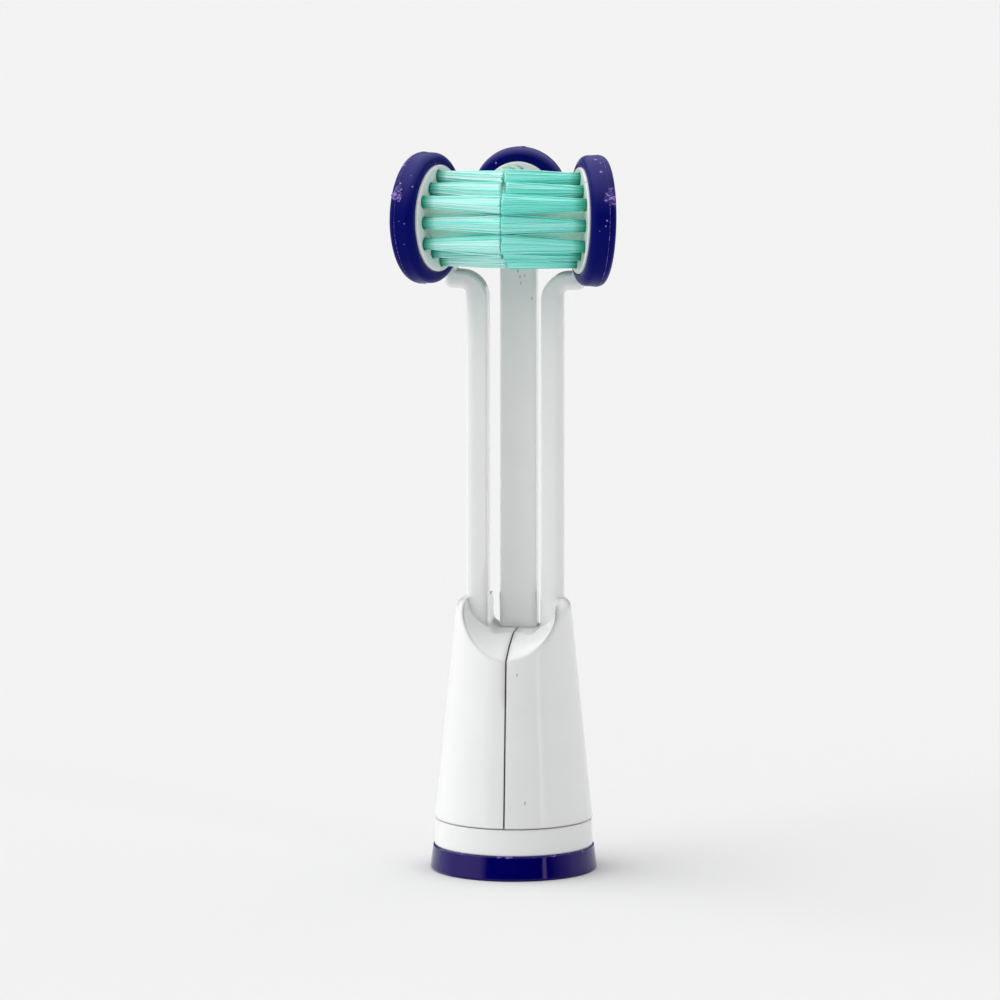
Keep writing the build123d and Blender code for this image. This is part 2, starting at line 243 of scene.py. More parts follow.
class BrushHeadColours(bpy.types.PropertyGroup):
    """Colours of the mouldings and the bristles."""

    white: FloatVectorProperty(
        name="White plastic",
        description="Colour of the shells, arms, collar, neck and plates",
        default=linear("#F0F1F1"),
        subtype="COLOR",
        min=0,
        max=1,
    )
    ring_blue: FloatVectorProperty(
        name="Ring blue",
        description="Colour of the ring at the base",
        default=linear("#000057"),
        subtype="COLOR",
        min=0,
        max=1,
    )
    rim_blue: FloatVectorProperty(
        name="Rim blue",
        description="Colour of the soft rims",
        default=linear("#030A5C"),
        subtype="COLOR",
        min=0,
        max=1,
    )
    torn_blue: FloatVectorProperty(
        name="Torn blue",
        description="Paler colour of the soft rims where the gate was torn off",
        default=linear("#9A74E8"),
        subtype="COLOR",
        min=0,
        max=1,
    )
    filament_green: FloatVectorProperty(
        name="Filament green",
        description="Colour of the deeper green filaments",
        default=linear("#60F1E1"),
        subtype="COLOR",
        min=0,
        max=1,
    )
    filament_pale: FloatVectorProperty(
        name="Pale filament green",
        description="Colour of the palest filaments",
        default=linear("#E4FFFC"),
        subtype="COLOR",
        min=0,
        max=1,
    )
    natural: FloatVectorProperty(
        name="Undyed filament",
        description="Colour of the undyed filaments in the middle of the heads",
        default=linear("#CDF2E4"),
        subtype="COLOR",
        min=0,
        max=1,
    )
    natural_pale: FloatVectorProperty(
        name="Pale undyed filament",
        description="Colour of the palest undyed filaments",
        default=linear("#E6FFF6"),
        subtype="COLOR",
        min=0,
        max=1,
    )
    # Painted shade: the undyed filaments take this darker colour where they sit in their holes
    natural_root: FloatVectorProperty(
        name="Undyed root",
        description="Colour of the undyed filaments where they leave the plate",
        default=linear("#BFEBDB"),
        subtype="COLOR",
        min=0,
        max=1,
    )
    # Painted shade: the dyed filaments take this darker colour where they sit in their holes
    root_green: FloatVectorProperty(
        name="Root green",
        description="Colour of the filaments where they leave the plate",
        default=linear("#27B091"),
        subtype="COLOR",
        min=0,
        max=1,
    )


class BrushHeadStage(bpy.types.PropertyGroup):
    """Floor, light and camera."""

    floor_colour: FloatVectorProperty(
        name="Floor",
        description="Colour of the floor",
        default=linear("#E4E4E4"),
        subtype="COLOR",
        min=0,
        max=1,
    )
    floor_size: FloatProperty(
        name="Floor size",
        description="Length of the floor's sides",
        default=24.0,
        unit="LENGTH",
    )
    room_light: FloatProperty(
        name="Room light",
        description="Strength of the light from all round",
        default=0.01,
        min=0,
    )
    ceiling_light: FloatProperty(
        name="Ceiling light",
        description="Strength that the light from above adds",
        default=0.95,
        min=0,
    )
    ceiling_lean: FloatProperty(
        name="Ceiling lean",
        description="Share by which the light from above is stronger on the left than in the middle",
        default=0.4,
        min=0,
    )
    softbox_light: FloatProperty(
        name="Softbox light",
        description="Strength that the large softbox on the left adds",
        default=1.16,
        min=0,
    )
    fill_light: FloatProperty(
        name="Fill light",
        description="Strength that the weak fill on the right adds",
        default=0.4,
        min=0,
    )
    strip_light: FloatProperty(
        name="Strip light",
        description="Strength that the narrow strip light on the front right adds",
        default=1.9,
        min=0,
    )
    camera_azimuth: FloatProperty(
        name="Camera azimuth",
        description="Angle of the camera round the part, from the front towards the right",
        default=math.radians(7.2),
        subtype="ANGLE",
    )
    camera_elevation: FloatProperty(
        name="Camera elevation",
        description="Angle of the camera above the floor",
        default=math.radians(9.4),
        subtype="ANGLE",
    )
    camera_distance: FloatProperty(
        name="Camera distance",
        description="Distance from the camera to the part",
        default=2.4,
        unit="LENGTH",
    )
    camera_lens: FloatProperty(
        name="Lens",
        description="Focal length on a sensor 36 mm wide, in millimetres",
        default=665.28,
    )
    aim_height: FloatProperty(
        name="Aim height",
        description="Height on the part's axis that the framing is measured from",
        default=47 * MM,
        unit="LENGTH",
    )
    aim_left: FloatProperty(
        name="Aim left",
        description="How far the middle of the picture lies to the left of the part's axis",
        default=1.786 * MM,
        unit="LENGTH",
        precision=6,
    )
    aim_up: FloatProperty(
        name="Aim up",
        description="How far the middle of the picture lies above the aim height",
        default=1.43 * MM,
        unit="LENGTH",
        precision=6,
    )


# Materials

def add_node(tree, kind, inputs=None, **settings):
    """Add one node with its settings, and fill its inputs with values or with links from other sockets."""
    node = tree.nodes.new(kind)
    for name, value in settings.items():
        setattr(node, name, value)
    for name, value in (inputs or {}).items():
        if isinstance(value, bpy.types.NodeSocket):
            tree.links.new(value, node.inputs[name])
        else:
            node.inputs[name].default_value = value
    return node


def new_material(name):
    """An empty material and its node tree."""
    material = bpy.data.materials.new(name)
    material.use_nodes = True
    material.node_tree.nodes.clear()
    return material, material.node_tree


def finish_material(tree, shader):
    """Send a shader to the material's surface."""
    add_node(tree, "ShaderNodeOutputMaterial", {"Surface": shader.outputs[0]})


def white_abs(colours):
    """White ABS from a polished mould.

    To the eye it is a bright, slightly blurred gloss over an even white, with faint clouds where the
    plastic flowed, rounded edges that catch the light, softest round the scoop, painted shade in the front
    seam and a few specks and small grey marks elsewhere.
    """
    material, tree = new_material("White ABS, polished moulding")
    place = add_node(tree, "ShaderNodeTexCoord").outputs["Object"]
    clouds = add_node(tree, "ShaderNodeTexNoise", {"Vector": place, "Scale": per_mm(7.0), "Detail": 3.0})
    tone = add_node(
        tree,
        "ShaderNodeMix",
        {0: clouds.outputs[0], 6: rgba(colours.white), 7: rgba(linear("#E9EAE9"))},
        data_type="RGBA",
    )
    spots = add_node(tree, "ShaderNodeTexVoronoi", {"Vector": place, "Scale": per_mm(2.6)})
    few = add_node(tree, "ShaderNodeTexNoise", {"Vector": place, "Scale": per_mm(3.1), "Detail": 0.0})
    dot_size = add_node(
        tree,
        "ShaderNodeMapRange",
        {0: few.outputs[0], "From Min": 0.62, "From Max": 0.75, "To Min": 0.0, "To Max": 0.045},
    )
    speck = add_node(
        tree,
        "ShaderNodeMath",
        {0: spots.outputs["Distance"], 1: dot_size.outputs[0]},
        operation="LESS_THAN",
    )
    spotted = add_node(
        tree,
        "ShaderNodeMix",
        {0: speck.outputs[0], 6: tone.outputs[2], 7: rgba(linear("#A9A59D"))},
        data_type="RGBA",
    )
    axes = add_node(tree, "ShaderNodeSeparateXYZ", {0: place})
    # Painted shade: the seam between the half shells, in front of the neck and above the collar, is darkened
    # as the shade in its gap
    beside = add_node(tree, "ShaderNodeMath", {0: axes.outputs["X"]}, operation="ABSOLUTE")
    line = add_node(
        tree,
        "ShaderNodeMapRange",
        {
            0: beside.outputs[0],
            "From Min": SEAM_HALF_WIDTH,
            "From Max": SEAM_FADE,
            "To Min": 1.0,
            "To Max": 0.0,
        },
    )
    front = add_node(tree, "ShaderNodeMath", {0: axes.outputs["Y"], 1: NECK_FRONT}, operation="LESS_THAN")
    above = add_node(
        tree,
        "ShaderNodeMath",
        {0: axes.outputs["Z"], 1: SHELL_BOTTOM},
        operation="GREATER_THAN",
    )
    shell = add_node(
        tree,
        "ShaderNodeMath",
        {0: front.outputs[0], 1: above.outputs[0]},
        operation="MULTIPLY",
    )
    seam = add_node(
        tree,
        "ShaderNodeMath",
        {0: line.outputs[0], 1: shell.outputs[0]},
        operation="MULTIPLY",
    )
    colour = add_node(
        tree,
        "ShaderNodeMix",
        {0: seam.outputs[0], 6: spotted.outputs[2], 7: rgba(linear("#5A5450"))},
        data_type="RGBA",
    )
    squeeze = Vector((1.0, 1.0, MARK_SQUEEZE))
    squeezed = add_node(tree, "ShaderNodeVectorMath", {0: place, 1: squeeze}, operation="MULTIPLY")
    for spot, radius in MARKS:
        away = add_node(
            tree,
            "ShaderNodeVectorMath",
            {0: squeezed.outputs[0], 1: Vector(spot) * squeeze * MM},
            operation="DISTANCE",
        )
        mark = add_node(
            tree,
            "ShaderNodeMath",
            {0: away.outputs["Value"], 1: radius * MM},
            operation="LESS_THAN",
        )
        colour = add_node(
            tree,
            "ShaderNodeMix",
            {0: mark.outputs[0], 6: colour.outputs[2], 7: rgba(linear("#ABA9A3"))},
            data_type="RGBA",
        )
    smear = add_node(tree, "ShaderNodeTexNoise", {"Vector": place, "Scale": per_mm(4.0), "Detail": 4.0})
    gloss = add_node(tree, "ShaderNodeMapRange", {0: smear.outputs[0], "To Min": 0.06, "To Max": 0.14})
    from_scoop = add_node(
        tree,
        "ShaderNodeVectorMath",
        {0: place, 1: SCOOP_MIDDLE},
        operation="DISTANCE",
    )
    softness = add_node(
        tree,
        "ShaderNodeMapRange",
        {
            0: from_scoop.outputs["Value"],
            "From Min": SOFT_REACH,
            "From Max": SOFT_FADE,
            "To Min": SOFT_EDGE,
            "To Max": PLAIN_EDGE,
        },
    )
    edge = add_node(tree, "ShaderNodeBevel", {"Radius": softness.outputs[0]}, samples=8)
    ripple = add_node(tree, "ShaderNodeTexNoise", {"Vector": place, "Scale": per_mm(5.0), "Detail": 1.0})
    bump = add_node(
        tree,
        "ShaderNodeBump",
        {"Strength": 0.35, "Distance": 0.03 * MM, "Height": ripple.outputs[0], "Normal": edge.outputs[0]},
    )
    shader = add_node(
        tree,
        "ShaderNodeBsdfPrincipled",
        {
            "Base Color": colour.outputs[2],
            "Roughness": gloss.outputs[0],
            "IOR": 1.52,
            "Normal": bump.outputs[0],
        },
    )
    finish_material(tree, shader)
    return material


def blue_abs(colours):
    """Dark blue ABS from a polished mould.

    To the eye it is nearly black-blue with clear, mirror-like reflections of the lamps, a little
    broken by handling smears, with pale scuffs along its upper edge.
    """
    material, tree = new_material("Blue ABS, polished moulding")
    place = add_node(tree, "ShaderNodeTexCoord").outputs["Object"]
    smear = add_node(tree, "ShaderNodeTexNoise", {"Vector": place, "Scale": per_mm(3.0), "Detail": 5.0})
    gloss = add_node(tree, "ShaderNodeMapRange", {0: smear.outputs[0], "To Min": 0.04, "To Max": 0.12})
    clouds = add_node(tree, "ShaderNodeTexNoise", {"Vector": place, "Scale": per_mm(6.0), "Detail": 2.0})
    tone = add_node(
        tree,
        "ShaderNodeMix",
        {0: clouds.outputs[0], 6: rgba(colours.ring_blue), 7: rgba(linear("#03005E"))},
        data_type="RGBA",
    )
    height = add_node(tree, "ShaderNodeSeparateXYZ", {0: place}).outputs["Z"]
    edge = add_node(tree, "ShaderNodeMath", {0: height, 1: SCUFF_HEIGHT}, operation="GREATER_THAN")
    scratch = add_node(tree, "ShaderNodeTexNoise", {"Vector": place, "Scale": per_mm(0.9), "Detail": 4.0})
    worn = add_node(
        tree,
        "ShaderNodeMapRange",
        {0: scratch.outputs[0], "From Min": 0.58, "From Max": 0.66},
    )
    scuff = add_node(tree, "ShaderNodeMath", {0: edge.outputs[0], 1: worn.outputs[0]}, operation="MULTIPLY")
    colour = add_node(
        tree,
        "ShaderNodeMix",
        {0: scuff.outputs[0], 6: tone.outputs[2], 7: rgba(linear("#6E5CA8"))},
        data_type="RGBA",
    )
    shader = add_node(
        tree,
        "ShaderNodeBsdfPrincipled",
        {
            "Base Color": colour.outputs[2],
            "Roughness": gloss.outputs[0],
            "Specular IOR Level": 0.36,
            "Specular Tint": rgba(linear("#F6D2FF")),
        },
    )
    finish_material(tree, shader)
    return material


def blue_elastomer(colours):
    """Dark blue thermoplastic elastomer, moulded over the plates.

    To the eye it is a soft satin: deep indigo in shade, a painted violet sheen where it faces up, with
    pale specks that cling to it and faint lumps of the skin.
    """
    material, tree = new_material("Blue elastomer, satin moulding")
    place = add_node(tree, "ShaderNodeTexCoord").outputs["Object"]
    clouds = add_node(tree, "ShaderNodeTexNoise", {"Vector": place, "Scale": per_mm(3.5), "Detail": 4.0})
    tone = add_node(
        tree,
        "ShaderNodeMix",
        {0: clouds.outputs[0], 6: rgba(colours.rim_blue), 7: rgba(linear("#080C66"))},
        data_type="RGBA",
    )
    # Painted highlight: faces that point up are painted a paler violet, for the sheen they catch from the
    # ceiling
    normal = add_node(tree, "ShaderNodeNewGeometry").outputs["Normal"]
    facing = add_node(tree, "ShaderNodeSeparateXYZ", {0: normal})
    upward_faces = add_node(
        tree,
        "ShaderNodeMapRange",
        {0: facing.outputs["Z"], "From Min": 0.25, "From Max": 0.95},
        interpolation_type="SMOOTHSTEP",
    )
    painted_top_sheen = add_node(
        tree,
        "ShaderNodeMix",
        {0: upward_faces.outputs[0], 6: tone.outputs[2], 7: rgba(linear("#3C3B78"))},
        data_type="RGBA",
    )
    spots = add_node(tree, "ShaderNodeTexVoronoi", {"Vector": place, "Scale": per_mm(1.3)})
    few = add_node(tree, "ShaderNodeTexNoise", {"Vector": place, "Scale": per_mm(2.2), "Detail": 1.0})
    dot_size = add_node(
        tree,
        "ShaderNodeMapRange",
        {0: few.outputs[0], "From Min": 0.42, "From Max": 0.72, "To Min": 0.0, "To Max": 0.2},
    )
    speck = add_node(
        tree,
        "ShaderNodeMath",
        {0: spots.outputs["Distance"], 1: dot_size.outputs[0]},
        operation="LESS_THAN",
    )
    colour = add_node(
        tree,
        "ShaderNodeMix",
        {0: speck.outputs[0], 6: painted_top_sheen.outputs[2], 7: rgba(linear("#8F86D0"))},
        data_type="RGBA",
    )
    gloss = add_node(tree, "ShaderNodeMapRange", {0: clouds.outputs[0], "To Min": 0.22, "To Max": 0.36})
    skin = add_node(tree, "ShaderNodeTexNoise", {"Vector": place, "Scale": per_mm(0.7), "Detail": 3.0})
    bump = add_node(
        tree,
        "ShaderNodeBump",
        {"Strength": 0.5, "Distance": 0.02 * MM, "Height": skin.outputs[0]},
    )
    shader = add_node(
        tree,
        "ShaderNodeBsdfPrincipled",
        {
            "Base Color": colour.outputs[2],
            "Roughness": gloss.outputs[0],
            "IOR": 1.5,
            "Specular IOR Level": 0.03,
            "Sheen Weight": 0.22,
            "Sheen Roughness": 0.35,
            "Sheen Tint": rgba(linear("#C4BAF4")),
            "Normal": bump.outputs[0],
        },
    )
    finish_material(tree, shader)
    return material


def torn_elastomer(colours):
    """Blue elastomer where a gate was torn off.

    To the eye it is a rough patch of pale violet ridges with dark blue between them.
    """
    material, tree = new_material("Blue elastomer, torn")
    place = add_node(tree, "ShaderNodeTexCoord").outputs["Object"]
    crumple = add_node(
        tree,
        "ShaderNodeTexNoise",
        {"Vector": place, "Scale": per_mm(0.55), "Detail": 2.0, "Distortion": 1.5},
    )
    ridge = add_node(
        tree,
        "ShaderNodeMapRange",
        {0: crumple.outputs[0], "From Min": 0.5, "From Max": 0.6},
        interpolation_type="SMOOTHSTEP",
    )
    colour = add_node(
        tree,
        "ShaderNodeMix",
        {0: ridge.outputs[0], 6: rgba(colours.rim_blue), 7: rgba(colours.torn_blue)},
        data_type="RGBA",
    )
    bump = add_node(
        tree,
        "ShaderNodeBump",
        {"Strength": 0.8, "Distance": 0.1 * MM, "Height": ridge.outputs[0]},
    )
    shader = add_node(
        tree,
        "ShaderNodeBsdfPrincipled",
        {"Base Color": colour.outputs[2], "Roughness": 0.45, "Normal": bump.outputs[0]},
    )
    finish_material(tree, shader)
    return material


def nylon(name, body, pale, root, glow):
    """Extruded nylon filament, dyed or plain.

    To the eye each filament is a thin bright line with a wet-looking highlight, paler or deeper than
    its neighbours, with painted shade where the tuft sinks into its hole. Clear filaments lead some light in
    among the others, which a weak painted glow stands for.
    """
    material, tree = new_material(name)
    tint = add_node(tree, "ShaderNodeAttribute", attribute_name="tint")
    depth = add_node(tree, "ShaderNodeAttribute", attribute_name="root")
    tone = add_node(
        tree,
        "ShaderNodeMix",
        {0: tint.outputs["Fac"], 6: rgba(body), 7: rgba(pale)},
        data_type="RGBA",
    )
    # Painted shade: the root attribute darkens the filaments towards the root colour inside the hole
    colour = add_node(
        tree,
        "ShaderNodeMix",
        {0: depth.outputs["Fac"], 6: tone.outputs[2], 7: rgba(root)},
        data_type="RGBA",
    )
    shader = add_node(
        tree,
        "ShaderNodeBsdfPrincipled",
        {
            "Base Color": colour.outputs[2],
            "Roughness": 0.3,
            "IOR": 1.53,
            "Emission Color": rgba(body),
            "Emission Strength": glow,
        },
    )
    finish_material(tree, shader)
    return material


def rolled_metal(name, dark, bright, roughness):
    """Thin rolled metal strip.

    To the eye it is a bright metal with fine lines along the rolling direction and a dull cast
    between them.
    """
    material, tree = new_material(name)
    place = add_node(tree, "ShaderNodeTexCoord").outputs["Object"]
    along = add_node(tree, "ShaderNodeMapping", {"Vector": place, "Scale": (1.0, 1.0, 0.1)})
    lines = add_node(
        tree,
        "ShaderNodeTexNoise",
        {"Vector": along.outputs[0], "Scale": per_mm(0.15), "Detail": 2.0},
    )
    colour = add_node(
        tree,
        "ShaderNodeMix",
        {0: lines.outputs[0], 6: rgba(linear(dark)), 7: rgba(linear(bright))},
        data_type="RGBA",
    )
    shader = add_node(
        tree,
        "ShaderNodeBsdfPrincipled",
        {"Base Color": colour.outputs[2], "Metallic": 1.0, "Roughness": roughness},
    )
    finish_material(tree, shader)
    return material


def matt_board(stage):
    """Smooth matt board under the part, plain and pale, which keeps a soft shadow."""
    material, tree = new_material("Matt white board")
    shader = add_node(
        tree,
        "ShaderNodeBsdfPrincipled",
        {"Base Color": rgba(stage.floor_colour), "Roughness": 0.9, "Specular IOR Level": 0.0},
    )
    finish_material(tree, shader)
    return material


# Meshes

def dress(name, material):
    """Give a CAD node its finish."""
    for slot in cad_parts[name].material_slots:
        slot.material = material


def new_piece(name, points, faces, material, replaced=()):
    """Put arrays of points and faces into a mesh that rides on the part and may stand for CAD nodes."""
    mesh = bpy.data.meshes.new(name)
    mesh.from_pydata(points.reshape(-1, 3), [], faces)
    mesh.materials.append(material)
    mesh.shade_smooth()
    piece = bpy.data.objects.new(name, mesh)
    bpy.context.scene.collection.objects.link(piece)
    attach(piece, "root")
    if replaced:
        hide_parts(*replaced)
    return piece


def node_points(name):
    """Corner points of a CAD node, one row each."""
    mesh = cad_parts[name].data
    points = np.empty(3 * len(mesh.vertices))
    mesh.vertices.foreach_get("co", points)
    return points.reshape(-1, 3)


def side_directions(sizes, side):
    """Directions of a side head: along its bristles, up its plate and across it, at right angles to both.

    The bristles point to the middle, turned forward by the splay and up by the lean. Across points to the
    front on the left head and to the back on the right one.
    """
    splay_sine, splay_cosine = math.sin(sizes.head_splay), math.cos(sizes.head_splay)
    lean_sine, lean_cosine = math.sin(sizes.head_lean), math.cos(sizes.head_lean)
    along = np.array((-side * splay_cosine * lean_cosine, -splay_sine * lean_cosine, lean_sine))
    up = np.array((side * splay_cosine * lean_sine, splay_sine * lean_sine, lean_cosine))
    return along, up, np.cross(along, up)


def rear_directions():
    """Directions of the rear head: forward along its bristles, up its plate and across it to the left."""
    along, up = np.array((0.0, -1.0, 0.0)), np.array((0.0, 0.0, 1.0))
    return along, up, np.cross(along, up)


def tuft_root(name, along, up, across):
    """Middle of a tuft's root, at the bottom of its hole: the centre of the node's lowest ring of points."""
    points = node_points(name)
    level = points @ along
    ring = points[level < level.min() + 0.01 * MM]
    height, reach = ring @ up, ring @ across
    return (
        along * level.min()
        + up * (height.min() + height.max()) / 2
        + across * (reach.min() + reach.max()) / 2
    )


def tube_faces(count, rings, sides, first=0):
    """Quads along so many tubes and a cap on both ends of each, as indices of points (tube, ring, side).

    The first point of the first tube has the index given as first.
    """
    index = first + np.arange(count * rings * sides).reshape(count, rings, sides)
    nxt = np.roll(index, -1, axis=2)
    quads = np.stack((index[:, :-1], nxt[:, :-1], nxt[:, 1:], index[:, 1:]), axis=-1)
    return quads.reshape(-1, 4).tolist() + index[:, 0, ::-1].tolist() + index[:, -1].tolist()


def meeting_reach(rng, side, along, gap):
    """Distance along the bristles from roots to where the side heads meet, less a gap and some scatter."""

    def reach(roots, tips):
        short = gap + TIP_SCATTER * MM * rng.random(len(tips)) ** 3
        return (short - side * tips[:, 0]) / (side * along[0])

    return reach


def front_reach(rng, front_end):
    """Distance along the bristles from their roots to the front end of the rear tufts, less some scatter."""

    def reach(roots, tips):
        return roots[:, 1] - front_end - TIP_SCATTER * MM * rng.random(len(roots)) ** 2

    return reach


def bristle_lines(sizes, start, directions, spot, aside, reach, widen):
    """Lines from a tuft's root to its tips, as points (line, step), and the steps' shares of the way.

    A line starts at its spot, which is a place in a unit disc times the root radius. At the share s of
    its way from 0 to 1 it has run along the bristles for s times its reach, and has moved out from the
    tuft's axis and aside by s to the fan power of its fan.
    """
    along, up, across = directions
    share = np.array(LINE_SHARES)
    fan = spot * (sizes.tip_radius * widen - sizes.root_radius) + aside
    place = spot[:, None] * sizes.root_radius + fan[:, None] * share[:, None] ** FAN_POWER
    lines = start + place @ np.stack((up, across))
    return lines + along * reach(lines[:, 0], lines[:, -1])[:, None, None] * share[:, None], share


def filaments(sizes, rng, start, directions, pull, reach, widen):
    """Points (filament, ring, side) of a tuft's filaments.

    The k-th of n filaments starts at the radius sqrt((k + 1/2) / n) of a unit disc and at k golden
    angles, the pattern of a sunflower. Its tip strays at random, a few of them far. A ring of points is
    carried along its line, which swings in a slow wave, and narrows to the rounded tip.
    """
    _, up, across = directions
    count = sizes.filament_count
    rank = np.arange(count)
    angle = rank * GOLDEN_ANGLE + rng.uniform(0, 2 * math.pi)
    spot = np.sqrt((rank + 0.5) / count)[:, None] * np.stack((np.cos(angle), np.sin(angle)), axis=-1)
    stray = np.where(rng.random((count, 1)) < STRAY_SHARE, STRAY_FACTOR, 1.0)
    aside = pull + rng.normal(0, sizes.tip_scatter, (count, 2)) * stray
    lines, share = bristle_lines(sizes, start, directions, spot, aside, reach, widen)
    phase = rng.uniform(0, 2 * math.pi, (count, 1, 2))
    turns = rng.uniform(0.6, 1.4, (count, 1, 2))
    wave = np.sin(2 * math.pi * turns * share[:, None] + phase) * sizes.wave * share[:, None]
    plane = np.stack((up, across))
    lines = lines + wave @ plane
    turn = np.arange(FILAMENT_SIDES) * 2 * math.pi / FILAMENT_SIDES
    ring = np.stack((np.cos(turn), np.sin(turn)), axis=-1) @ plane * sizes.filament_radius
    girth = np.array(LINE_GIRTHS)
    return lines[:, :, None] + girth[:, None, None] * ring


def packed_core(sizes, rng, start, directions, pull, reach, widen):
    """Points (1, ring, side) of the filaments packed inside a tuft, as one body with an uneven surface.

    Its sides are bristle lines that start at even angles and at about the same radius. It stops short of
    the tips, so that only the ends of single filaments show there.
    """
    angle = np.arange(CORE_SIDES) * 2 * math.pi / CORE_SIDES
    radius = CORE_SHARE * rng.uniform(0.93, 1.0, CORE_SIDES)
    spot = radius[:, None] * np.stack((np.cos(angle), np.sin(angle)), axis=-1)

    def short(roots, tips):
        return reach(roots, tips) - CORE_SHORT * MM

    lines, _ = bristle_lines(sizes, start, directions, spot, pull, short, widen)
    return lines.swapaxes(0, 1)[None]


def tuft(name, sizes, rng, directions, centre, reach, materials, lean=(0.0, 0.0)):
    """One tuft of filaments in place of its CAD solid, in the nylon that the node's slot names.

    The lean moves its tips up and across.
    """
    along, up, across = directions
    root = tuft_root(name, along, up, across)
    start = root + along * sizes.root_above_bottom
    offset = np.array(((centre - root) @ up, (centre - root) @ across))
    pull = offset * sizes.tip_pull + np.array(lean)
    head = name.split("_")[0]
    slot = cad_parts[name].material_slots[0].name
    widen = FANS[head][slot]
    single = filaments(sizes, rng, start, directions, pull, reach, widen)
    core = packed_core(sizes, rng, start, directions, pull, reach, widen)
    faces = tube_faces(*single.shape[:3]) + tube_faces(*core.shape[:3], first=single.size // 3)
    points = np.concatenate((single.reshape(-1, 3), core.reshape(-1, 3)))
    tints = (
        np.broadcast_to(rng.random((single.shape[0], 1, 1)), single.shape[:3]).ravel(),
        np.broadcast_to(rng.random((1, 1, core.shape[2])), core.shape[:3]).ravel(),
    )
    piece = new_piece(f"{name}_filaments", points, faces, materials[slot], [name])
    # Painted shade: filaments are darkened over the root shade length from their start in the hole
    depth = (points - start) @ along
    dark = np.clip((sizes.root_shade_length - depth) / (ROOT_BLUR * MM) + 0.5, 0, 1)
    for label, values in (("root", dark), ("tint", np.concatenate(tints) * PAINTED_PALENESS[head])):
        attribute = piece.data.attributes.new(label, "FLOAT", "POINT")
        attribute.data.foreach_set("value", values.astype(np.float32))
    return piece


def rim_frame(name, directions, front):
    """Centre of a rim on the plane of its face, and its outer radius."""
    along, up, _ = directions
    points = node_points(name)
    level, height, reach = points @ along, points @ up, points @ front
    radius = np.ptp(height) / 2
    middle = (height.min() + height.max()) / 2
    return along * level.max() + up * middle + front * (reach.max() - radius), radius


def torn_lump(rng, size, radius):
    """Points (1, ring, side) of a crumpled lens, as distances round the rim, towards its face and outwards.

    At the colatitude p and the longitude q of a unit ball, the lens has the outline 1 + 0.22 sin(3 q + a) +
    0.13 sin(7 q + b), is stretched to its half length, half width and height, and has ridges across it. It
    bends round the rim, whose radius is given.
    """
    half_length, half_width, height = size
    p = np.linspace(math.pi - 0.08, 0.08, SCAR_RINGS)[:, None]
    q = np.arange(SCAR_SIDES) * 2 * math.pi / SCAR_SIDES
    a, b, c = rng.uniform(0, 2 * math.pi, 3)
    outline = 1 + 0.22 * np.sin(3 * q + a) + 0.13 * np.sin(7 * q + b)
    x = half_length * np.sin(p) * np.cos(q) * outline
    y = half_width * np.sin(p) * np.sin(q) * outline
    ridges = 0.6 + 0.4 * np.sin(11 * x / half_length + 6 * y / half_width + c)
    z = height * np.cos(p) * ridges - x**2 / (2 * radius)
    return np.stack((x, y, z), axis=-1)[None]


def mould_line(centre, radius, directions, forward, ends):
    """Points (1, ring, side) of a thin ridge round a rim, a tube bent to a part of a circle.

    Forward is 1 where the direction across the head points to the front and -1 where it points back.
    """
    along, up, across = directions
    turn = np.radians(np.linspace(*ends, LINE_STEPS))[:, None]
    out = across * forward * np.cos(turn) + up * np.sin(turn)
    around = np.arange(LINE_SIDES) * 2 * math.pi / LINE_SIDES
    ring = out[:, None] * np.cos(around)[:, None] + along * forward * np.sin(around)[:, None]
    spine = centre - along * LINE_DEPTH * MM + out * radius
    return (spine[:, None] + ring * LINE_RADIUS * MM)[None]


# Operators

class BRUSH_OT_white_mouldings(bpy.types.Operator):
    """Finish the collar, the half bodies with their arms and plates, and the rear neck"""

    bl_idname = "brush_head.white_mouldings"
    bl_label = "White mouldings"

    def execute(self, context):
        material = white_abs(context.scene.brush_head_colours)
        for name in ("collar_with_socket", "left_half_body", "right_half_body", "rear_neck"):
            dress(name, material)
        return {"FINISHED"}


class BRUSH_OT_colour_ring(bpy.types.Operator):
    """Finish the blue ring at the base"""

    bl_idname = "brush_head.colour_ring"
    bl_label = "Colour ring"

    def execute(self, context):
        dress("colour_ring", blue_abs(context.scene.brush_head_colours))
        return {"FINISHED"}


class BRUSH_OT_soft_rims(bpy.types.Operator):
    """Finish the soft rims round the three heads"""

    bl_idname = "brush_head.soft_rims"
    bl_label = "Soft rims"

    def execute(self, context):
        material = blue_elastomer(context.scene.brush_head_colours)
        for name in ("left_bumper", "right_bumper", "rear_bumper"):
            dress(name, material)
        return {"FINISHED"}


class BRUSH_OT_mould_marks(bpy.types.Operator):
    """Make the torn gates, nubs and mould lines on the soft rims"""

    bl_idname = "brush_head.mould_marks"
    bl_label = "Mould marks"

    def execute(self, context):
        sizes = context.scene.brush_head_sizes
        rng = np.random.default_rng(SCAR_SEED)
        torn = torn_elastomer(context.scene.brush_head_colours)
        heads = {head: (side_directions(sizes, side), -side) for head, side in SIDES.items()}
        heads["rear"] = (rear_directions(), -1)
        for head, (directions, forward) in heads.items():
            along, up, across = directions
            front = across * forward
            centre, radius = rim_frame(f"{head}_bumper", directions, front)
            line = mould_line(centre, radius, directions, forward, LINE_ENDS[head])
            new_piece(f"{head}_mould_line", line, tube_faces(*line.shape[:3]), torn)
            marks = [mark[1:] for mark in SCARS if mark[0] == head]
            for number, (angle, depth, *size) in enumerate(marks, start=1):
                turn = math.radians(angle)
                out = front * math.cos(turn) + up * math.sin(turn)
                lump = torn_lump(rng, np.array(size) * MM, radius)
                axes = np.stack((np.cross(along, out), along, out))
                points = centre - along * depth * MM + out * radius + lump @ axes
                faces = tube_faces(*lump.shape[:3])
                new_piece(f"{head}_scar_{number}", points, faces, torn)
        return {"FINISHED"}


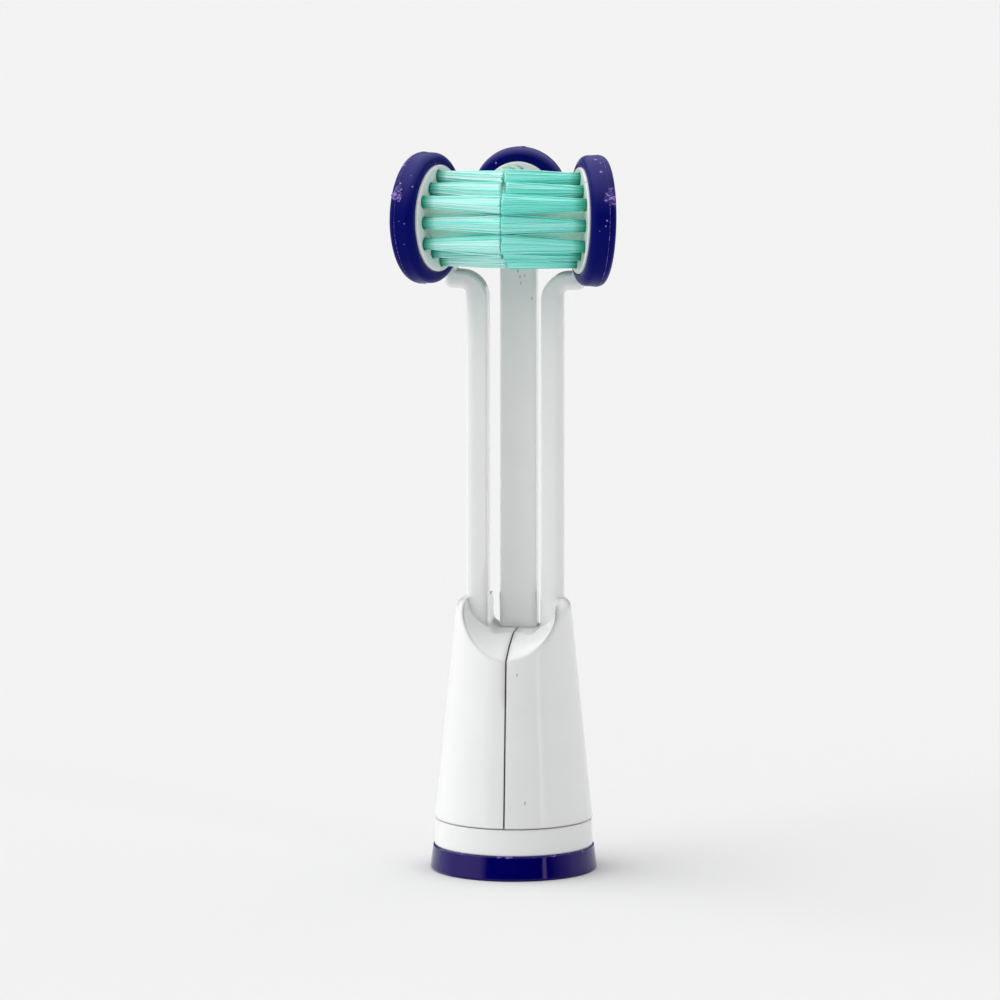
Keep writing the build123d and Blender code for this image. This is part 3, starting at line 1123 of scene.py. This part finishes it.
class BRUSH_OT_tufts(bpy.types.Operator):
    """Make the filaments of every tuft"""

    bl_idname = "brush_head.tufts"
    bl_label = "Tufts of filaments"

    def execute(self, context):
        sizes = context.scene.brush_head_sizes
        colours = context.scene.brush_head_colours
        dyed = (colours.filament_green, colours.filament_pale, colours.root_green)
        undyed = (colours.natural, colours.natural_pale, colours.natural_root)
        materials = {
            "green_nylon": nylon("Green nylon filament, extruded", *dyed, 0.0),
            # Painted glow: the undyed filaments of the side heads glow faintly to brighten their shaded tufts
            "natural_nylon": nylon("Undyed nylon filament, painted glow", *undyed, UNDYED_GLOW),
        }
        # The rear head's undyed tufts get the same nylon without the painted glow
        shaded = {"natural_nylon": nylon("Undyed nylon filament, shaded", *undyed, 0.0)}
        rng = np.random.default_rng(TUFT_SEED)
        for head, side in SIDES.items():
            directions = side_directions(sizes, side)
            along = directions[0]
            names = [f"{head}_tuft_{number:02d}" for number in range(1, SIDE_TUFTS + 1)]
            centre = np.mean([tuft_root(name, *directions) for name in names], axis=0)
            for name in names:
                gap = SHORT_GAP if name in SHORT_TUFTS else TIP_GAP
                reach = meeting_reach(rng, side, along, gap * MM)
                tuft(name, sizes, rng, directions, centre, reach, materials)

        directions = rear_directions()
        names = [f"rear_tuft_{number}" for number in range(1, REAR_TUFTS + 1)]
        centre = np.mean([tuft_root(name, *directions) for name in names], axis=0)
        front_end = min(node_points(name)[:, 1].min() for name in names)
        reach = front_reach(rng, front_end)
        for name in names:
            lean = np.array(LEANING_TUFTS.get(name, (0.0, 0.0))) * MM
            tuft(name, sizes, rng, directions, centre, reach, shaded, lean)
        return {"FINISHED"}


class BRUSH_OT_metal_inserts(bpy.types.Operator):
    """Finish the anchors that hold the tufts and the clip that grips the shaft"""

    bl_idname = "brush_head.metal_inserts"
    bl_label = "Metal inserts"

    def execute(self, context):
        brass = rolled_metal("Brass strip, rolled", "#B8923F", "#D8B765", 0.32)
        for name in ("left_anchors", "right_anchors", "rear_anchors"):
            dress(name, brass)
        dress("shaft_clip", rolled_metal("Spring steel strip, rolled", "#8E9196", "#C2C5C9", 0.28))
        return {"FINISHED"}


class BRUSH_OT_stage(bpy.types.Operator):
    """Lay the floor, light the part and set the camera"""

    bl_idname = "brush_head.stage"
    bl_label = "Stage"

    def execute(self, context):
        scene = context.scene
        stage = scene.brush_head_stage
        scene.view_settings.view_transform = "Standard"
        half = stage.floor_size / 2
        corners = np.array(((-half, -half, 0), (half, -half, 0), (half, half, 0), (-half, half, 0)))
        mesh = bpy.data.meshes.new("floor")
        mesh.from_pydata(corners, [], [(0, 1, 2, 3)])
        mesh.materials.append(matt_board(stage))
        floor = bpy.data.objects.new("floor", mesh)
        scene.collection.objects.link(floor)
        self.light(scene, stage)
        self.aim(scene, stage)
        return {"FINISHED"}

    def light(self, scene, stage):
        """Room light that rises to the ceiling, a softbox on the left, and a strip and a fill on the right."""
        world = bpy.data.worlds.new("Studio")
        scene.world = world
        world.use_nodes = True
        tree = world.node_tree
        tree.nodes.clear()
        direction = add_node(tree, "ShaderNodeTexCoord").outputs["Generated"]
        axes = add_node(tree, "ShaderNodeSeparateXYZ", {0: direction})
        forward = add_node(tree, "ShaderNodeMath", {0: axes.outputs["Y"], 1: -1.0}, operation="MULTIPLY")
        bearing = add_node(
            tree,
            "ShaderNodeMath",
            {0: axes.outputs["X"], 1: forward.outputs[0]},
            operation="ARCTAN2",
        )
        ceiling = add_node(
            tree,
            "ShaderNodeMapRange",
            {
                0: axes.outputs["Z"],
                "From Min": CEILING_START,
                "From Max": CEILING_FULL,
                "To Max": stage.ceiling_light,
            },
            interpolation_type="SMOOTHSTEP",
        )
        leftward = add_node(
            tree,
            "ShaderNodeMath",
            {0: axes.outputs["X"], 1: -stage.ceiling_lean, 2: 1.0},
            operation="MULTIPLY_ADD",
        )
        total = add_node(
            tree,
            "ShaderNodeMath",
            {0: ceiling.outputs[0], 1: leftward.outputs[0], 2: stage.room_light},
            operation="MULTIPLY_ADD",
        )
        height = add_node(
            tree,
            "ShaderNodeMapRange",
            {
                0: axes.outputs["Z"],
                "From Min": LAMP_FADE,
                "From Max": LAMP_END,
                "To Min": 1.0,
                "To Max": 0.0,
            },
        )
        lamps = ((SOFTBOX, stage.softbox_light), (STRIP, stage.strip_light), (FILL, stage.fill_light))
        for lamp, strength in lamps:
            middle, half_width, blur = map(math.radians, lamp)
            aside = add_node(tree, "ShaderNodeMath", {0: bearing.outputs[0], 1: middle}, operation="SUBTRACT")
            spread = add_node(tree, "ShaderNodeMath", {0: aside.outputs[0]}, operation="ABSOLUTE")
            panel = add_node(
                tree,
                "ShaderNodeMapRange",
                {
                    0: spread.outputs[0],
                    "From Min": half_width - blur,
                    "From Max": half_width + blur,
                    "To Min": strength,
                    "To Max": 0.0,
                },
                interpolation_type="SMOOTHSTEP",
            )
            total = add_node(
                tree,
                "ShaderNodeMath",
                {0: panel.outputs[0], 1: height.outputs[0], 2: total.outputs[0]},
                operation="MULTIPLY_ADD",
            )
        white = (1.0, 1.0, 1.0, 1.0)
        background = add_node(tree, "ShaderNodeBackground", {"Color": white, "Strength": total.outputs[0]})
        add_node(tree, "ShaderNodeOutputWorld", {"Surface": background.outputs[0]})

    def aim(self, scene, stage):
        """Camera at its angles round the part, aimed a little to the left of and above the aim height."""
        azimuth, elevation = stage.camera_azimuth, stage.camera_elevation
        sine, cosine = math.sin(azimuth), math.cos(azimuth)
        back = Vector((sine * math.cos(elevation), -cosine * math.cos(elevation), math.sin(elevation)))
        right = Vector((cosine, sine, 0))
        up = back.cross(right)
        target = Vector((0, 0, stage.aim_height)) - right * stage.aim_left + up * stage.aim_up
        camera = bpy.data.objects.new("camera", bpy.data.cameras.new("camera"))
        camera.data.lens = stage.camera_lens
        camera.data.sensor_width = 36
        camera.data.clip_end = 100
        rotation = Matrix((right, up, back)).transposed()
        camera.matrix_world = Matrix.Translation(target + back * stage.camera_distance) @ rotation.to_4x4()
        scene.collection.objects.link(camera)
        scene.camera = camera


OPERATORS = (
    BRUSH_OT_white_mouldings,
    BRUSH_OT_colour_ring,
    BRUSH_OT_soft_rims,
    BRUSH_OT_mould_marks,
    BRUSH_OT_tufts,
    BRUSH_OT_metal_inserts,
    BRUSH_OT_stage,
)
GROUPS = {
    "brush_head_sizes": BrushHeadSizes,
    "brush_head_colours": BrushHeadColours,
    "brush_head_stage": BrushHeadStage,
}


class BRUSH_PT_panel(bpy.types.Panel):
    """Settings and steps of the brush head"""

    bl_idname = "BRUSH_PT_panel"
    bl_label = "Brush head"
    bl_space_type = "VIEW_3D"
    bl_region_type = "UI"
    bl_category = "Brush Head"

    def draw(self, context):
        for group in GROUPS:
            settings = getattr(context.scene, group)
            box = self.layout.box()
            for name in settings.__annotations__:
                box.prop(settings, name)
        for operator in OPERATORS:
            self.layout.operator(operator.bl_idname)


def register():
    for cls in (*GROUPS.values(), *OPERATORS, BRUSH_PT_panel):
        bpy.utils.register_class(cls)
    for name, cls in GROUPS.items():
        setattr(bpy.types.Scene, name, PointerProperty(type=cls))


def unregister():
    for name in GROUPS:
        delattr(bpy.types.Scene, name)
    for cls in reversed((*GROUPS.values(), *OPERATORS, BRUSH_PT_panel)):
        bpy.utils.unregister_class(cls)


def main():
    """Dress the part in order."""
    register()
    bpy.ops.brush_head.white_mouldings()
    bpy.ops.brush_head.colour_ring()
    bpy.ops.brush_head.soft_rims()
    bpy.ops.brush_head.mould_marks()
    bpy.ops.brush_head.tufts()
    bpy.ops.brush_head.metal_inserts()
    bpy.ops.brush_head.stage()


if __name__ == "__main__":
    main()
